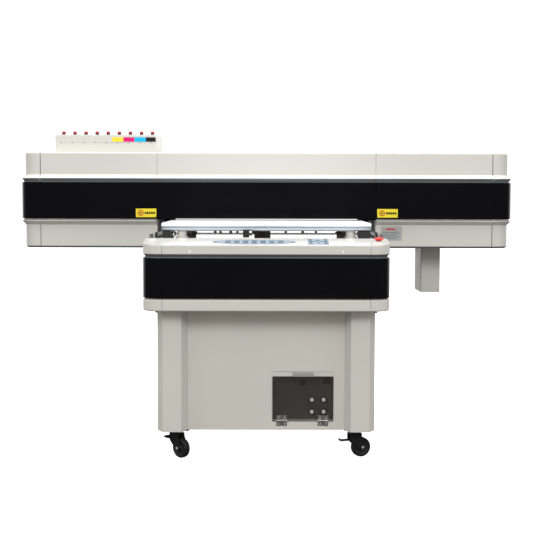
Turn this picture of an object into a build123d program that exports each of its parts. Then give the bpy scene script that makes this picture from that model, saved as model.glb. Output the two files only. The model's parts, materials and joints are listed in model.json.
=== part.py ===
from build123d import *
from math import atan, degrees
import os

# Flatbed UV printer: a fixed vacuum bed on a wheeled cabinet, and a gantry that
# straddles the bed and travels front to back. Millimetres. +Z up, -Y is the
# operator's side, +X is the operator's right. The origin is on the floor, at the
# centre of the overall box.

# ---- driving dimensions -------------------------------------------------------
half_depth = 620.0          # whole machine, front to back
sheet = 2.5                 # folded cover sheet
seam = 0.6                  # half of the gap at a seam between covers

# wheels and cabinet
wheel_r = 40.0
wheel_w = 28.0
cabinet_z0 = 112.5          # underside of the cabinet
cabinet_half_x = 438.0
cabinet_front = -520.0      # plane of the front panel
cabinet_rear = 520.0
post_proud = 40.0           # how far the corner posts stand out
post_face_x = (339.0, 414.0)
panel_half_x = 318.0

exhaust_xz = (150.0, 235.5)

# table body
table_half_x = 492.0
table_corner_r = 78.0
table_z0 = 604.0
table_rim_top = 646.0
table_band_z = (655.0, 814.0)
table_shell_z = 830.0
table_groove = 12.0
console_front_z = 864.0
console_depth = 190.0
deck_z = 885.0
table_seam_x = 410.0
table_rear = 600.0
estop_xy = (449.0, -527.0)

# bed
bed_half_x = 433.0
bed_front = -365.0          # back of the rounded nose
bed_rear = 320.0
bed_top = 947.0
bed_bottom = 913.0
nose = 15.0                 # depth of the bed's rounded front edge

# gantry
gantry_half_x = 1113.0
gantry_front = 130.0
gantry_rear_y = 560.0       # where the rear cover starts
gantry_corner_r = 75.0
gantry_z0 = 820.5
gantry_top = 1257.0
band_proud = 17.0
gantry_band_z = (954.0, 1120.0)
lower_cover_top = 950.0
upper_cover_z0 = 1122.0
inner_wall_x = 499.0
end_seam_x = 1032.0
cover_hinge_y = 330.0

# Y travel
rail_x = 470.0
rail_h = 18.0
belt_x = 451.0
y_pulley_r = 9.0
y_pulley_z = deck_z + 12.5
y_drive_y = 540.0
y_idler_y = -400.0

# X travel
beam_y = (340.0, 470.0)
beam_z = (1000.0, 1130.0)
upright_y = (322.0, 520.0)
carriage_x = 800.0
x_pulley_r = 20.0
x_pulley_x = 1040.0
x_pulley_y = 405.0

# door and controls
door_x = (27.0, 270.0)
door_axis_z = 153.5
door_top = 333.0
opening_x = (25.0, 272.0)
opening_z = (147.5, 352.0)
door_axis_y = -526.0
pocket_y = -482.0           # face that carries the controls

# ink
ink_x = (-973.0, -507.0)
ink_y = (190.0, 490.0)
ink_top = 1338.0
cap_pitch = 51.7
cap_count = 9
cap_y = 262.0
first_cap_x = -946.0

console_slope = degrees(atan((deck_z - console_front_z) / console_depth))
nodes = {}


# ---- helpers ------------------------------------------------------------------
def block(x, y, z):
    """A box between pairs of coordinates."""
    size = (abs(x[1] - x[0]), abs(y[1] - y[0]), abs(z[1] - z[0]))
    return Pos((x[0] + x[1]) / 2, (y[0] + y[1]) / 2, (z[0] + z[1]) / 2) * Box(*size)


def rod(start, radius, length, axis="Z"):
    """A cylinder from a start point along an axis."""
    turn = {"X": Rotation(0, 90, 0), "Y": Rotation(-90, 0, 0), "Z": Rotation(0, 0, 0)}[axis]
    grow = (Align.CENTER, Align.CENTER, Align.MIN)
    return Pos(*start) * turn * Cylinder(radius, length, align=grow)


def tube(start, outer, inner, length, axis="Z"):
    """A hollow cylinder from a start point along an axis."""
    return rod(start, outer, length, axis) - rod(start, inner, length, axis)


def one(shape):
    """The single solid of a boolean result."""
    return max(shape.solids(), key=lambda s: s.volume)


def keep(name, *shapes):
    """Files solids under a node name."""
    solids = [s for shape in shapes for s in shape.solids()]
    nodes.setdefault(name, []).extend(solids)


def mirrored(shape):
    """The same piece on the other side of the machine."""
    return mirror(shape, about=Plane.YZ)


def plan(half_x, front, radius, grow, z):
    """A rounded plan outline at a height; it runs on behind the machine."""
    rear = 900.0
    width = 2 * (half_x + grow)
    depth = rear - front + 2 * grow
    return Pos(0, (front + rear) / 2, z) * RectangleRounded(width, depth, radius + grow)


def stack(half_x, front, radius, levels):
    """A solid whose plan outline grows or shrinks between levels of (z, grow)."""
    made = None
    for (z0, g0), (z1, g1) in zip(levels, levels[1:]):
        low = plan(half_x, front, radius, g0, z0)
        if abs(g0 - g1) < 1e-6:
            layer = extrude(low, z1 - z0)
        else:
            layer = loft([low.face(), plan(half_x, front, radius, g1, z1).face()])
        made = layer if made is None else made + layer
    return made


def skin(half_x, front, radius, levels, cut_low, cut_high):
    """A sheet that follows a stack; the ends named by cut_low and cut_high stay open."""
    inner = [(z, g - sheet) for z, g in levels]
    if cut_low:
        inner[0] = (inner[0][0] - 1, inner[0][1])
    else:
        inner[0] = (inner[0][0] + sheet, inner[0][1])
    if cut_high:
        inner[-1] = (inner[-1][0] + 1, inner[-1][1])
    else:
        inner[-1] = (inner[-1][0] - sheet, inner[-1][1])
    return stack(half_x, front, radius, levels) - stack(half_x, front, radius, inner)


def ring(half_x, front, radius, grow, z, thick):
    """An upright sheet that follows the plan outline."""
    outer = extrude(plan(half_x, front, radius, grow, z[0]), z[1] - z[0])
    return outer - extrude(plan(half_x, front, radius, grow - thick, z[0]), z[1] - z[0])


def span(x0, x1, y0=-700.0, y1=gantry_rear_y):
    """A tall cutting block between two X planes."""
    return block((x0, x1), (y0, y1), (0, 1500))


# ---- cabinet ------------------------------------------------------------------
def post_outline(z):
    """Plan of the front left corner post: a face with a chamfer on each side."""
    face_y = cabinet_front - post_proud
    return Polyline(
        (-panel_half_x - seam, cabinet_front, z),
        (-post_face_x[0], face_y, z),
        (-post_face_x[1], face_y, z),
        (-cabinet_half_x, cabinet_front, z),
        (-cabinet_half_x, cabinet_front + 40, z),
        (-cabinet_half_x + 40, cabinet_front + 40, z),
        (-panel_half_x - seam, cabinet_front + 3, z),
        close=True,
    )


def cabinet():
    """Posts, panels and the pocket behind the door."""
    top = table_z0 - 0.5
    outline = make_face(post_outline(cabinet_z0))
    solid_post = extrude(outline, top - cabinet_z0)
    post = one(solid_post - Pos(0, 0, 3) * extrude(offset(outline, -3), top - cabinet_z0))
    rear_post = mirror(post, about=Plane.XZ)
    keep("cabinet_corner_posts", post, rear_post, mirrored(post), mirrored(rear_post))

    front = block((-panel_half_x, panel_half_x), (cabinet_front, cabinet_front + 2), (cabinet_z0 + 2.5, top))
    front -= block(opening_x, (cabinet_front - 1, cabinet_front + 3), opening_z)
    keep("cabinet_front_panel", front)

    x0, x1 = opening_x
    z0, z1 = opening_z
    y0, y1 = cabinet_front + 2, pocket_y
    back = block((x0 - 2, x1 + 2), (y1, y1 + 3), (z0 - 2, z1 + 2))
    for x, z, radius in control_places():
        back -= rod((x, y1 - 10, z), radius, 20, "Y")
    back -= block((235.5, 258.5), (y1 - 10, y1 + 10), (298.5, 323.5))
    walls = [block(x, (y0, y1), (z0, z1)) for x in ((x0 - 2, x0), (x1, x1 + 2))]
    walls += [block((x0 - 2, x1 + 2), (y0, y1), z) for z in ((z0 - 2, z0), (z1, z1 + 2))]
    lip = block(opening_x, (y0, y0 + 1.5), (door_top - 2, z1))
    keep("control_pocket", back, lip, *walls)

    panel_z = (cabinet_z0 + 2.5, top)
    side = block((-cabinet_half_x, -cabinet_half_x + 2), (cabinet_front + 41, cabinet_rear - 41), panel_z)
    for row in range(8):
        z = 430 + row * 14
        side -= block((-cabinet_half_x - 1, -cabinet_half_x + 3), (120, 360), (z, z + 5))
    rear = block((-panel_half_x, panel_half_x), (cabinet_rear - 2, cabinet_rear), panel_z)
    rear -= block((-260, -190), (cabinet_rear - 3, cabinet_rear + 1), (200, 250))
    rear -= rod((exhaust_xz[0], cabinet_rear - 5, exhaust_xz[1]), 47, 10, "Y")
    keep("cabinet_side_and_rear_panels", side, mirrored(side), rear)
    for sx in (-1, 1):
        knob = rod((sx * (cabinet_half_x + 7) - 7, -455, 588), 6, 14, "X")
        keep("side_latch_knobs", knob)


def control_places():
    """Centre and hole radius of each round control behind the door."""
    buttons = [(x, z, 9.0) for z in (232.0, 183.0) for x in (186.0, 234.0)]
    return buttons + [(149.5, 303.5, 5.06)]


def square_tube(x, y, z, axis, wall=3.0):
    """A square tube filling a box, open at the two ends across an axis."""
    shrink = {"X": (-1, wall, wall), "Y": (wall, -1, wall), "Z": (wall, wall, -1)}[axis]
    bore = [(a + s, b - s) for (a, b), s in zip((x, y, z), shrink)]
    return block(x, y, z) - block(*bore)


def base_frame():
    """The tube frame, its floor plate and the two beams under the rails."""
    tube_w = 40.0
    floor_top = cabinet_z0 + 3
    leg_x, leg_y = (392.0, 432.0), (438.0, 478.0)
    cross_z = (deck_z - 82.5, deck_z - 42.5)
    floor = block((-391, 391), (-478, 478), (cabinet_z0, floor_top))
    for x in (-280, 280):
        for y in (-400, 400):
            floor -= rod((x, y, cabinet_z0 - 1), 5.25, 5)
    keep("base_frame", floor)
    for sx in (-1, 1):
        x = tuple(sorted((sx * leg_x[0], sx * leg_x[1])))
        for sy in (-1, 1):
            y = tuple(sorted((sy * leg_y[0], sy * leg_y[1])))
            keep("base_frame", square_tube(x, y, (floor_top, cross_z[0]), "Z"))
            for z0 in (floor_top, 560.0):
                if sx < 0:
                    keep("base_frame", square_tube((-leg_x[0], leg_x[0]), y, (z0, z0 + 30), "X"))
        for z0 in (floor_top, 560.0):
            keep("base_frame", square_tube(x, (-leg_y[0], leg_y[0]), (z0, z0 + 30), "Y"))
        beam_x = tuple(sorted((sx * 440.0, sx * 478.0)))
        keep("base_frame", square_tube(beam_x, (-428, 550), (cross_z[1], deck_z - sheet), "Y"))
    for y in (-478.0, -20.0, 438.0):
        keep("base_frame", square_tube((-478, 478), (y, y + tube_w), cross_z, "X"))


def equipment():
    """What the cabinet holds: electronics, the bed's blower and its outlet."""
    floor = cabinet_z0 + 3
    box = chamfer(block((-300, -40), (-150, 250), (floor, 480)).edges().filter_by(Axis.Z), 4)
    keep("cabinet_equipment", box - block((-298, -42), (-148, 248), (floor - 1, 478)))
    inlet = block((-259, -191), (cabinet_rear - 22, cabinet_rear), (201, 249))
    for x0 in (-250, -220):
        inlet -= block((x0, x0 + 22), (cabinet_rear - 8, cabinet_rear + 1), (212, 238))
    keep("cabinet_equipment", inlet)
    drum = rod((60, 200, floor + 120), 105, 190, "X") + block((80, 240), (140, 260), (floor, floor + 40))
    drum -= rod((59, 200, floor + 120), 101, 187, "X")
    keep("cabinet_equipment", one(drum))
    x, z = exhaust_xz
    collar = tube((x, cabinet_rear, z), 50, 47, 40, "Y") + tube((x, cabinet_rear, z), 62, 47, 3, "Y")
    keep("cabinet_equipment", one(collar))
    keep("cabinet_equipment", tube((x, 306, z), 46, 43, cabinet_rear - 306, "Y"))


# ---- door and its controls ----------------------------------------------------
def door():
    """Smoked door that drops forward, its hinges, and the controls behind it."""
    y0 = cabinet_front - 4.5
    axis = door_axis_z
    pane = block(door_x, (y0, cabinet_front - 0.5), (axis + 4, door_top))
    tab = Pos(149.5, y0 + 2, door_top - 2) * Rotation(12, 0, 0) * Pos(0, 0, 10) * Box(82, 4, 20)
    keep("smoked_door", one(pane + tab))
    for x in (63.0, 230.0):
        upper = block((x - 21, x + 21), (y0 - 1.5, y0), (axis + 1, axis + 21))
        upper += rod((x - 21, door_axis_y, axis), 3, 13, "X")
        upper += rod((x + 8, door_axis_y, axis), 3, 13, "X")
        upper -= rod((x - 22, door_axis_y, axis), 1.55, 44, "X")
        upper -= block((x - 7.6, x + 7.6), (y0 - 8, y0 + 1), (axis - 4, axis + 4))
        keep("door_hinge_straps", one(upper))
        lower = block((x - 21, x + 21), (cabinet_front - 1.5, cabinet_front), (axis - 22, axis - 6))
        lower += block((x - 7, x + 7), (door_axis_y - 1, cabinet_front), (axis - 7, axis - 1.5))
        lower += rod((x - 7.3, door_axis_y, axis), 3, 14.6, "X")
        lower += rod((x - 21, door_axis_y, axis), 1.5, 42, "X")
        keep("door_hinge_leaves", one(lower))

    for n, (x, z, radius) in enumerate(control_places()[:4], 1):
        keep("button_bezels", tube((x, pocket_y - 6, z), 13, 8.3, 6, "Y"))
        cap = rod((x, pocket_y - 11, z), 8, 19, "Y") + rod((x, pocket_y + 3.2, z), 12, 4, "Y")
        keep(f"zone_button_{n}", cap)
    x, z, radius = control_places()[4]
    knob = rod((x, pocket_y - 19, z), 11, 17, "Y") + rod((x, pocket_y - 5, z), 5, 14, "Y")
    knob += block((x - 1.2, x + 1.2), (pocket_y - 21, pocket_y - 18), (z, z + 10))
    keep("vacuum_regulator_knob", knob)
    rocker = block((236.5, 257.5), (pocket_y - 6, pocket_y + 5), (300.5, 321.5))
    rocker -= rod((230, pocket_y - 12, 311), 8, 40, "X")
    keep("main_switch_rocker", rocker)


# ---- table body ---------------------------------------------------------------
def console_plane(drop):
    """A thick slab whose top lies below the sloping console and the flat deck."""
    front = -half_depth - 60
    over = 60 * (deck_z - console_front_z) / console_depth
    break_y = -half_depth + console_depth
    outline = Polyline(
        (0, front, console_front_z - over - drop), (0, break_y, deck_z - drop),
        (0, 700, deck_z - drop), (0, 700, 400), (0, front, 400), close=True)
    return Pos(-600, 0, 0) * extrude(make_face(outline), 1200, dir=(1, 0, 0))


def on_console(x, y):
    """The place and tilt of something that stands on the sloping console."""
    z = console_front_z + (y + half_depth) * (deck_z - console_front_z) / console_depth
    return Location((x, y, z), (console_slope, 0, 0))


def table_body():
    """Beige shell with a black band let into it, console lid and deck."""
    size = (table_half_x, -half_depth, table_corner_r)
    groove = -table_groove
    upper = skin(*size, [(table_shell_z - 13, groove), (table_shell_z, 0), (900, 0)], True, True)
    upper &= console_plane(sheet)
    rim = [(table_z0, -4), (table_z0 + 4, 0), (table_rim_top, 0), (table_rim_top + 8, -10)]
    lower = skin(*size, rim, True, True)
    backing = ring(*size, -9, (table_rim_top + 8, table_shell_z - 13), 4)
    front_y = -half_depth + 150
    for x0, x1, y0, y1 in ((-table_seam_x + seam, table_seam_x - seam, -700, front_y),
                           (-600, -table_seam_x - seam, -700, front_y),
                           (table_seam_x + seam, 600, -700, front_y),
                           (-600, 0, front_y + 2 * seam, gantry_rear_y),
                           (0, 600, front_y + 2 * seam, gantry_rear_y)):
        for shell in (upper, lower, backing):
            keep("table_shells", one(shell & span(x0, x1, y0, y1)))
        band = ring(*size, 0, table_band_z, 9)
        keep("table_bands", one(band & span(x0, x1, y0, y1)))

    outline = extrude(plan(*size, 0, 800), 100)
    lid = (outline & console_plane(0)) - console_plane(sheet)
    break_y = -half_depth + console_depth
    lid -= on_console(*estop_xy) * Cylinder(11.6, 40)
    keep("console_and_deck", one(lid & span(-600, 600, -700, break_y)))
    deck_y = (break_y + seam, gantry_rear_y)
    keep("console_and_deck", block((-table_half_x, table_half_x), deck_y, (deck_z - sheet, deck_z)))

    rear = block((-table_half_x, table_half_x), (gantry_rear_y + seam, table_rear), (table_z0, deck_z))
    rear = fillet(rear.edges().filter_by(Axis.Z).sort_by(Axis.Y)[2:], 20)
    hollow_x = (-table_half_x + 3, table_half_x - 3)
    rear -= block(hollow_x, (gantry_rear_y - 5, table_rear - 3), (table_z0 + 3, deck_z - 3))
    for row in range(6):
        rear -= block((-120, 120), (table_rear - 10, table_rear + 1), (690 + row * 14, 696 + row * 14))
    keep("table_shells", rear)


def emergency_stop():
    """Collar and mushroom on the right end of the sloping console."""
    place = on_console(*estop_xy)
    up = (Align.CENTER, Align.CENTER, Align.MIN)
    collar = Cylinder(24, 3, align=up) + Pos(0, 0, 3) * Cylinder(17, 3, align=up)
    keep("estop_collar", place * (collar - Cylinder(11.4, 20)))
    stem = Pos(0, 0, 1.6) * Cylinder(11, 10, align=up)
    head = Pos(0, 0, 11.5) * Cone(17, 19, 4, align=up) + Pos(0, 0, 15.5) * Cone(19, 15, 4, align=up)
    keep("estop_button", place * (stem + head))
    keep("keypad_panel", on_console(207, -522) * Box(84, 134, 1.4, align=up))


# ---- bed ----------------------------------------------------------------------
def bed():
    """Vacuum bed in its aluminium edging, on posts, with its valve and fittings."""
    edge = 22.0
    x1, y0, y1 = bed_half_x, bed_front, bed_rear
    edge_z = (bed_bottom, bed_top - 0.5)
    keep("bed_plate", block((edge - x1, x1 - edge), (y0 + edge, y1 - edge), (bed_bottom + 3, bed_top)))
    mid = sum(edge_z) / 2
    section = make_face(Polyline(
        (0, y0 + edge, edge_z[0]), (0, y0 + edge, edge_z[1]), (0, y0 - 6, edge_z[1]),
        (0, y0 - 13, edge_z[1] - 7), (0, y0 - nose, mid), (0, y0 - 13, edge_z[0] + 7),
        (0, y0 - 6, edge_z[0]), close=True))
    keep("bed_edge_profiles", Pos(-x1, 0, 0) * extrude(section, 2 * x1, dir=(1, 0, 0)))
    keep("bed_edge_profiles", block((-x1, x1), (y1 - edge, y1), edge_z))
    for sx in (-1, 1):
        keep("bed_edge_profiles", block((sx * (x1 - edge), sx * x1), (y0 + edge, y1 - edge), edge_z))
    for y in (-340.0, -25.0, 295.0):
        for x in (-351.0, 351.0):
            top = bed_bottom if abs(y) > 200 else bed_bottom + 3
            keep("bed_posts", rod((x, y, deck_z), 20, top - deck_z) + rod((x, y, deck_z), 26, 5))
    for x in ((-430, -396), (379, 430)):
        keep("bed_fittings", block(x, (-376, -348), (deck_z, bed_bottom)))
    fittings = [(-212, 6), (-190, 5), (-148, 6), (-120, 5), (-55, 6),
                (-38, 5), (10, 5), (80, 5), (150, 6), (205, 5)]
    for x, size in fittings:
        keep("bed_fittings", rod((x, y0 + 4, bed_bottom - 9), size, 9))
    valve = block((-97, -71), (-378, -352), (deck_z + 2, bed_bottom)) + rod((-84, -385.2, 899), 4, 8, "Y")
    keep("bed_fittings", valve)
    lever = block((-88, -62), (-388, -384), (895.5, 902.5)) + rod((-84, -388, 899), 6, 4, "Y")
    lever += rod((-62, -388, 899), 3.5, 4, "Y")
    lever -= rod((-84, -385.5, 899), 4.05, 3, "Y")
    keep("bed_valve_lever", Pos(0, -0.3, 0) * lever)


# ---- Y travel -----------------------------------------------------------------
def belt_loop(a, b, radius, thick, width):
    """A closed belt in the local XZ plane round two pulleys at a and b along X."""
    outer = Pos((a + b) / 2, 0, 0) * SlotCenterToCenter(b - a, 2 * (radius + thick))
    inner = Pos((a + b) / 2, 0, 0) * SlotCenterToCenter(b - a, 2 * radius)
    return extrude(outer - inner, width)


def y_travel():
    """Rails, belts, pulleys and drive that carry the gantry along the table."""
    for sx in (-1, 1):
        keep("y_rails", block((sx * rail_x - 8, sx * rail_x + 8), (-425, 545), (deck_z, deck_z + rail_h)))
        loop = belt_loop(y_idler_y, y_drive_y, y_pulley_r + 0.3, 1.4, 10)
        side = Plane(origin=(sx * belt_x - 5, 0, y_pulley_z), x_dir=(0, 1, 0), z_dir=(1, 0, 0))
        keep("y_belts", side * loop)
        keep("y_idler_pulleys", tube((sx * belt_x - 5, y_idler_y, y_pulley_z), y_pulley_r, 3.05, 10, "X"))
        bracket = block((sx * 457.5, sx * 461), (y_idler_y - 9, y_idler_y + 9), (deck_z, y_pulley_z + 9))
        bracket += rod((sx * 452 - 6, y_idler_y, y_pulley_z), 3, 12, "X")
        keep("y_drive_mounts", bracket)
        bearing = block((sx * 420, sx * 434), (y_drive_y - 10, y_drive_y + 10), (deck_z, y_pulley_z + 12))
        keep("y_drive_mounts", bearing - rod((sx * 427 - 10, y_drive_y, y_pulley_z), 5.06, 20, "X"))
    motor = block((-60, 20), (y_drive_y - 27, y_drive_y + 27), (deck_z, deck_z + 52))
    motor = chamfer(motor.edges().filter_by(Axis.X), 4)
    keep("y_drive_mounts", motor - rod((-61, y_drive_y, y_pulley_z), 5.06, 82, "X"))
    shaft = rod((-456, y_drive_y, y_pulley_z), 5, 912, "X")
    for sx in (-1, 1):
        shaft += rod((sx * belt_x - 5, y_drive_y, y_pulley_z), y_pulley_r, 10, "X")
    keep("y_drive_shaft", shaft)


# ---- gantry -------------------------------------------------------------------
def gantry_covers():
    """Beige covers with a proud black band; the middle one is the hinged lid."""
    size = (gantry_half_x, gantry_front, gantry_corner_r)
    ridge, z0, top = band_proud, gantry_z0, gantry_top
    band_z = gantry_band_z
    above = [(upper_cover_z0, 6), (1138, ridge), (1155, 0), (top - 7, 0), (top - 2, -2), (top, -7)]
    below = [(z0, -6), (z0 + 6, 0), (926, 0), (944, ridge), (lower_cover_top, 6)]
    upper = skin(*size, above, True, False)
    lower = skin(*size, below, False, True)
    backing = ring(*size, 9, (lower_cover_top, upper_cover_z0), 5)
    wall_x = inner_wall_x + seam + sheet
    for node, sx in (("gantry_left_cover", -1), ("gantry_right_cover", 1)):
        for shell, x0 in ((upper, inner_wall_x + seam), (backing, inner_wall_x + seam), (lower, wall_x)):
            keep(node, one(shell & span(sx * x0, sx * (end_seam_x - seam))))
            keep(node, one(shell & span(sx * (end_seam_x + seam), sx * 1200)))
        inner_wall_x_span = (sx * (wall_x - sheet), sx * wall_x)
        keep(node, block(inner_wall_x_span, (gantry_front, gantry_rear_y), (z0 + 1, 949)))
    band = ring(*size, ridge, band_z, ridge - 9)
    for x0, x1 in ((-1200, -end_seam_x - seam), (-end_seam_x + seam, -inner_wall_x - seam),
                   (inner_wall_x + seam, end_seam_x - seam), (end_seam_x + seam, 1200)):
        keep("gantry_bands", one(band & span(x0, x1)))

    mid_x = inner_wall_x - seam
    lid_back = ring(*size, 9, (band_z[0], upper_cover_z0), 5)
    keep("front_lid", one(upper & span(-mid_x, mid_x, 0, cover_hinge_y - seam)))
    keep("front_lid", one(lid_back & span(-mid_x, mid_x, 0, 300)))
    keep("front_lid_band", one(band & span(-mid_x, mid_x, 0, 300)))
    keep("gantry_rear_cover", one(upper & span(-mid_x, mid_x, cover_hinge_y + seam)))

    rear = block((-gantry_half_x, gantry_half_x), (gantry_rear_y + seam, half_depth), (z0, top))
    rear = fillet(rear.edges().filter_by(Axis.Z).sort_by(Axis.Y)[2:], 25)
    hollow_x = (3 - gantry_half_x, gantry_half_x - 3)
    rear -= block(hollow_x, (gantry_rear_y - 5, half_depth - 3), (z0 + 3, top - 3))
    for sx in (-1, 1):
        for row in range(8):
            slot_z = (1080 + row * 14, 1086 + row * 14)
            rear -= block((sx * 650, sx * 850), (half_depth - 10, half_depth + 1), slot_z)
        keep("gantry_rear_cover", one(rear & span(sx * (inner_wall_x + seam), sx * 1200, 500, 700)))
        sensor_y = (gantry_front - 2, gantry_front + 20)
        keep("gantry_bands", block((sx * 416, sx * wall_x), sensor_y, (949, 953.5)))
    keep("gantry_rear_cover", one(rear & block((-mid_x, mid_x), (500, 700), (953, 1500))))


def gantry_frame():
    """Two uprights that ride the rails, joined by the hollow cross beam."""
    x_feet = (rail_x - 12, rail_x + 12)
    keep("gantry_frame", square_tube((-1085, 1085), beam_y, beam_z, "X", 6))
    for sx in (-1, 1):
        x = tuple(sorted((sx * x_feet[0], sx * (x_feet[1] + 4))))
        keep("gantry_frame", block(x, upright_y, (deck_z + 24, beam_z[0])))
        x = tuple(sorted((sx * x_feet[0], sx * x_feet[1])))
        for y in (upright_y[0], upright_y[1] - 70):
            foot = block(x, (y, y + 70), (deck_z + 6, deck_z + 24))
            rail_slot = (sx * rail_x - 8.4, sx * rail_x + 8.4)
            foot -= block(rail_slot, (y - 1, y + 71), (deck_z, deck_z + rail_h + 0.4))
            keep("gantry_frame", foot)
        keep("gantry_frame", block((sx * 446, sx * 458), (400, 420), (y_pulley_z + 11, y_pulley_z + 20)))
        for arm in (560, 900):
            keep("gantry_frame", block((sx * arm, sx * (arm + 20)), (beam_y[1], gantry_rear_y), (1040, 1090)))
    x = carriage_x
    base = block((x - 100, x + 100), (170, 310), (gantry_z0 + sheet, 900))
    keep("gantry_frame", base - block((x - 92, x + 92), (178, 302), (gantry_z0 + 8, 901)))
    for z in (1025.0, 1105.0):
        keep("x_rails", block((-1060, 1060), (beam_y[0] - 10, beam_y[0]), (z - 7, z + 7)))


def x_travel():
    """Belt, pulleys and motor on the beam, and the carriage they pull."""
    z0 = beam_z[1] + 8
    loop = belt_loop(-x_pulley_x, x_pulley_x, x_pulley_r + 0.3, 1.6, 12)
    keep("x_belt", Pos(0, x_pulley_y, z0) * loop)
    keep("x_drive_pulley", tube((x_pulley_x, x_pulley_y, z0 - 2), x_pulley_r, 4.05, 15))
    keep("x_idler_pulley", tube((-x_pulley_x, x_pulley_y, z0 - 2), x_pulley_r, 4.05, 15))
    for sx in (-1, 1):
        keep("x_motor_and_pins", rod((sx * x_pulley_x, x_pulley_y, beam_z[1]), 4, 28))
    motor = block((1012, 1068), (377, 433), (beam_z[1] + 28, beam_z[1] + 90))
    for y in (372, 433):
        motor += block((1012, 1068), (y, y + 5), (beam_z[1], beam_z[1] + 40))
    keep("x_motor_and_pins", motor)

    x = carriage_x
    plate = block((x - 110, x + 110), (318, 325), (1000, 1149))
    for z in (1025.0, 1105.0):
        slider = block((x - 100, x + 100), (325, 339.4), (z - 15, z + 15))
        plate += slider - block((x - 101, x + 101), (329.6, 341), (z - 7.4, z + 7.4))
    plate += block((x - 20, x + 20), (318, 382.4), (1140, 1149))
    keep("carriage_slide", one(plate))
    head = chamfer(block((x - 95, x + 95), (180, 317.4), (966, 1080)).edges().filter_by(Axis.Z), 6)
    keep("print_head_block", head)
    pocket_z = (940, 950)
    tray = block((x - 90, x + 90), (180, 300), (925, 949))
    for n in range(4):
        hx = x - 66 + n * 44
        keep("print_head_block", block((hx - 14, hx + 14), (200, 290), (950, 966)))
        tray -= block((hx - 17, hx + 17), (197, 293), pocket_z)
    for sx in (-1, 1):
        lamp = block((x + sx * 96, x + sx * 150), (200, 300), (956, 1050))
        for row in range(5):
            lamp -= block((x + sx * 140, x + sx * 151), (205, 295), (980 + row * 12, 985 + row * 12))
        keep("print_head_block", lamp)
    keep("capping_tray", tray + rod((x, 240, 850), 12, 76))


def ink_supply():
    """Ink tank box on the left of the roof, its caps, and the waste bottle box."""
    box = block(ink_x, ink_y, (gantry_top, ink_top))
    box = chamfer(box.edges().filter_by(Axis.X).sort_by(Axis.Z)[-2:].sort_by(Axis.Y)[-1:], 11)
    box = chamfer(box.edges().filter_by(Axis.X).sort_by(Axis.Y)[:2].sort_by(Axis.Z)[-1:], 1.5)
    hollow = [(side[0] + 2, side[1] - 2) for side in (ink_x, ink_y)]
    box -= block(*hollow, (gantry_top - 1, gantry_top + 68))
    groove_z = 1303.0
    groove_x = (ink_x[0] + 8, ink_x[1] - 8)
    box -= block(groove_x, (ink_y[0] - 1, ink_y[0] + 0.8), (groove_z - 0.6, groove_z + 0.6))
    for n in range(cap_count):
        x = first_cap_x + n * cap_pitch
        box += rod((x, cap_y, ink_top), 6, 9)
        cap = tube((x, cap_y, ink_top + 0.3), 8.6, 6.3, 11) + rod((x, cap_y, ink_top + 11.3), 8.6, 7.7)
        keep("ink_caps", cap)
    keep("ink_tank_box", box)
    waste = block((728, 820), (280, 490), (606, gantry_z0))
    waste = fillet(waste.edges().filter_by(Axis.Z).sort_by(Axis.Y)[:2], 6)
    keep("waste_ink_box", waste - block((731, 817), (283, 487), (609, gantry_z0 + 1)))


# ---- casters ------------------------------------------------------------------
def caster(suffix, x, y, heading, swivels):
    """A braked swivel caster, or a fixed one. Heading is the way the wheel trails."""
    place = Location((x, y, 0), (0, 0, heading))
    trail, leg_y, axle_z, top_z = 27.0, 17.0, wheel_r, 96.0
    plate = block((-37, 37), (-37, 37), (cabinet_z0 - 4, cabinet_z0)) + rod((0, 0, cabinet_z0 - 10), 25, 7)
    for sx in (-1, 1):
        for sy in (-1, 1):
            plate += rod((sx * 29, sy * 29, cabinet_z0 - 8), 5.5, 5)
    side = make_face(Polyline(
        (-24, 0, top_z + 3), (24, 0, top_z + 3), (24, 0, top_z - 8), (trail + 13, 0, axle_z + 6),
        (trail + 9, 0, axle_z - 9), (trail - 9, 0, axle_z - 9), (-19, 0, 64), (-24, 0, 74), close=True))
    leg = extrude(side, 3, dir=(0, -1, 0))
    fork = Pos(0, -leg_y, 0) * leg + Pos(0, leg_y + 3, 0) * leg
    fork += block((-24, 24), (-leg_y - 3, leg_y + 3), (top_z, top_z + 3))
    fork += rod((trail, -leg_y - 7, axle_z), 6, 2 * leg_y + 14, "Y")
    if swivels:
        plate += rod((0, 0, 90), 6, 18) + rod((0, 0, 90), 10, top_z - 90.4)
        fork = fork - rod((0, 0, top_z - 1), 6.06, 6) + rod((-17, -leg_y, 72), 2.5, 2 * leg_y, "Y")
        pedal = block((-66, -12), (-14, 14), (70.5, 73.5)) + rod((-17, -14, 72), 5, 28, "Y")
        pedal += block((-66, -62), (-14, 14), (70.5, 78))
        pedal -= rod((-17, -15, 72), 2.56, 30, "Y")
        keep(f"brake_pedal_{suffix}", place * one(pedal))
        keep(f"caster_fork_{suffix}", place * one(fork))
        keep("caster_plates", place * one(plate))
    else:
        keep("caster_plates", place * one(plate + fork + rod((0, 0, top_z), 12, cabinet_z0 - 10 - top_z)))
    wheel = tube((trail, -wheel_w / 2, axle_z), wheel_r, 6.06, wheel_w, "Y")
    wheel = chamfer(wheel.edges().filter_by(GeomType.CIRCLE).sort_by(lambda e: -e.radius)[:2], 3)
    for y0 in (-wheel_w / 2 - 1, wheel_w / 2 - 3):
        wheel -= tube((trail, y0, axle_z), 28, 13, 4, "Y")
    keep(f"caster_wheel_{suffix}", place * one(wheel))


cabinet()
base_frame()
equipment()
door()
table_body()
emergency_stop()
bed()
y_travel()
gantry_covers()
gantry_frame()
x_travel()
ink_supply()
caster("front_left", -362, -498, -45, True)
caster("front_right", 360, -498, 20, True)
caster("rear_left", -362, 470, 90, False)
caster("rear_right", 362, 470, 90, False)

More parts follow.
